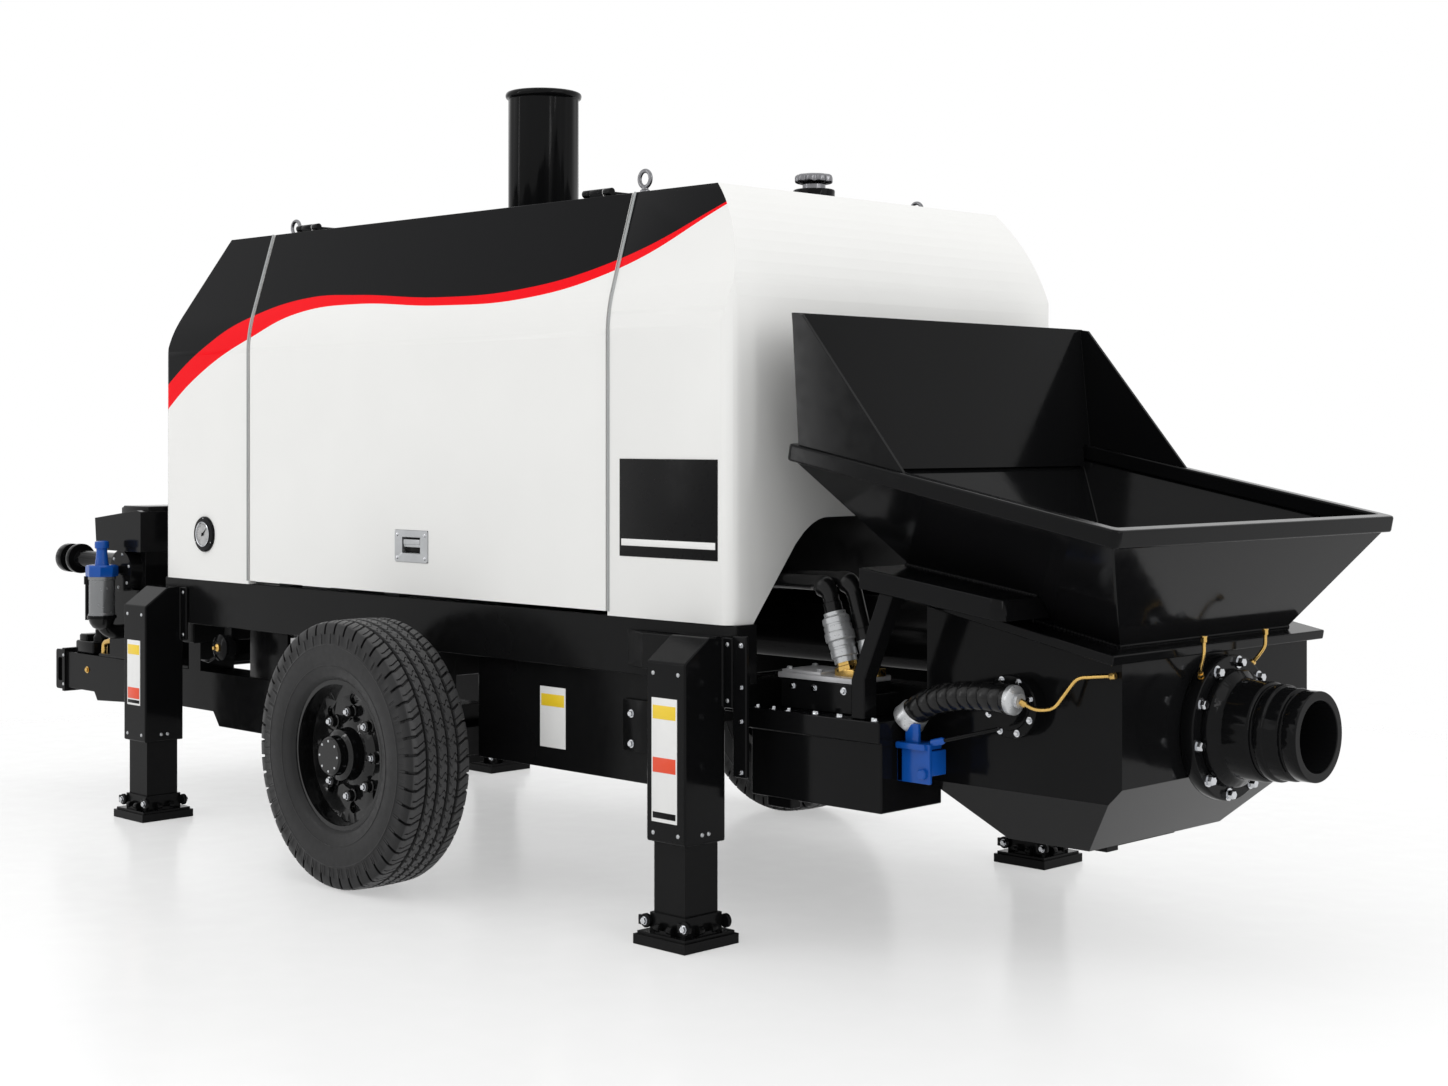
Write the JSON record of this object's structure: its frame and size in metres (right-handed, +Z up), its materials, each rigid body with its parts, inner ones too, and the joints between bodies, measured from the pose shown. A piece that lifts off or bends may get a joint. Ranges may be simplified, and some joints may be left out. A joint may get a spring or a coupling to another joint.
{
  "type": "trailer concrete pump",
  "caption": "Towed concrete pump on one axle: white hood over the engine, tilted hopper with swing tube and outlet at the rear, and telescopic support legs.",
  "frame": {"origin": "on the floor under the middle of the overall box", "axes": "+X towards the hopper and outlet, +Z up, -Y is the left side seen in the picture"},
  "size_m": [5.257, 2.142, 2.53],
  "materials": {
    "black_paint": "gloss",
    "white_paint": "gloss",
    "chassis_paint": "satin",
    "tyre": "matte",
    "rim_paint": "gloss",
    "chrome": "polished",
    "latch_metal": "satin",
    "filter_blue": "gloss",
    "filter_bowl": "satin",
    "engine_iron": "matte",
    "wear_steel": "worn",
    "brass": "satin",
    "hose_rubber": "matte"
  },
  "bodies": {
    "chassis": {"rail_left": "chassis_paint", "rail_right": "chassis_paint", "cross_members": "chassis_paint", "hopper_arms": "chassis_paint", "skirts": "chassis_paint", "axle": "chassis_paint", "tow_left": "chassis_paint", "tow_right": "chassis_paint", "brake_valve": "chassis_paint", "front_deck": "chassis_paint", "front_unit": "black_paint", "leg_casings": "black_paint", "hood_front": "white_paint", "front_grille": "chassis_paint", "hood_rear": "white_paint", "hood_roof": "white_paint", "door_hinges": "black_paint", "gauge": "chrome", "stack": "black_paint", "lifting_eyes": "chrome", "filler_cap": "chrome", "engine": "engine_iron", "oil_tank": "black_paint", "pump_kit": "black_paint", "hopper_rim": "black_paint", "hopper_funnel": "black_paint", "hopper_guard": "black_paint", "hopper_flange": "black_paint", "hopper_box": "black_paint", "hopper_ledges": "black_paint", "side_boxes": "black_paint", "valve_block": "black_paint", "steel_fittings": "filter_bowl", "brass_fittings": "brass", "blue_fittings": "filter_blue", "rubber_hoses": "hose_rubber", "ribbed_hose": "hose_rubber", "outlet_flange": "black_paint", "outlet_pipe": "black_paint", "agitator_bearings": "black_paint"},
    "wheel_left": {"tyre_left": "tyre", "rim_left": "rim_paint"},
    "wheel_right": {"tyre_right": "tyre", "rim_right": "rim_paint"},
    "door_left": {"door_left": "white_paint", "latch_left": "latch_metal"},
    "door_right": {"door_right": "white_paint", "latch_right": "latch_metal"},
    "swing_tube": {"swing_tube": "wear_steel"},
    "agitator_left": {"agitator_left": "wear_steel"},
    "agitator_right": {"agitator_right": "wear_steel"},
    "cleanout_door": {"cleanout_door": "black_paint"},
    "leg_front_left": {"leg_front_left": "black_paint"},
    "leg_front_right": {"leg_front_right": "black_paint"},
    "leg_rear_left": {"leg_rear_left": "black_paint"},
    "leg_rear_right": {"leg_rear_right": "black_paint"}
  },
  "joints": [
    {"name": "wheel_left_spin", "type": "hinge", "parent": "chassis", "child": "wheel_left", "pos_m": [-0.0455, -0.95, 0.4025], "axis": [0, 1, 0], "continuous": true},
    {"name": "wheel_right_spin", "type": "hinge", "parent": "chassis", "child": "wheel_right", "pos_m": [-0.0455, 0.95, 0.4025], "axis": [0, 1, 0], "continuous": true},
    {"name": "leg_front_left_slide", "type": "slide", "parent": "chassis", "child": "leg_front_left", "axis": [0, 0, 1], "range_m": [0, 0.18]},
    {"name": "leg_front_right_slide", "type": "slide", "parent": "chassis", "child": "leg_front_right", "axis": [0, 0, 1], "range_m": [0, 0.18]},
    {"name": "leg_rear_left_slide", "type": "slide", "parent": "chassis", "child": "leg_rear_left", "axis": [0, 0, 1], "range_m": [0, 0.18]},
    {"name": "leg_rear_right_slide", "type": "slide", "parent": "chassis", "child": "leg_rear_right", "axis": [0, 0, 1], "range_m": [0, 0.18]},
    {"name": "door_left_hinge", "type": "hinge", "parent": "chassis", "child": "door_left", "pos_m": [-0.12, -0.59181, 2.064], "axis": [-1, 0, 0], "range_deg": [0, 75]},
    {"name": "door_right_hinge", "type": "hinge", "parent": "chassis", "child": "door_right", "pos_m": [-0.12, 0.59181, 2.064], "axis": [1, 0, 0], "range_deg": [0, 75]},
    {"name": "swing_tube_turn", "type": "hinge", "parent": "chassis", "child": "swing_tube", "pos_m": [2.3455, 0, 0.614], "axis": [-1, 0, 0], "range_deg": [0, 63.4]},
    {"name": "agitator_left_spin", "type": "hinge", "parent": "chassis", "child": "agitator_left", "pos_m": [2.0395, -0.43, 0.68], "axis": [0, 1, 0], "continuous": true},
    {"name": "agitator_right_spin", "type": "hinge", "parent": "chassis", "child": "agitator_right", "pos_m": [2.0395, 0.43, 0.68], "axis": [0, 1, 0], "continuous": true},
    {"name": "cleanout_door_hinge", "type": "hinge", "parent": "chassis", "child": "cleanout_door", "pos_m": [1.8875, 0, 0.292], "axis": [0, 1, 0], "range_deg": [0, 65]}
  ]
}
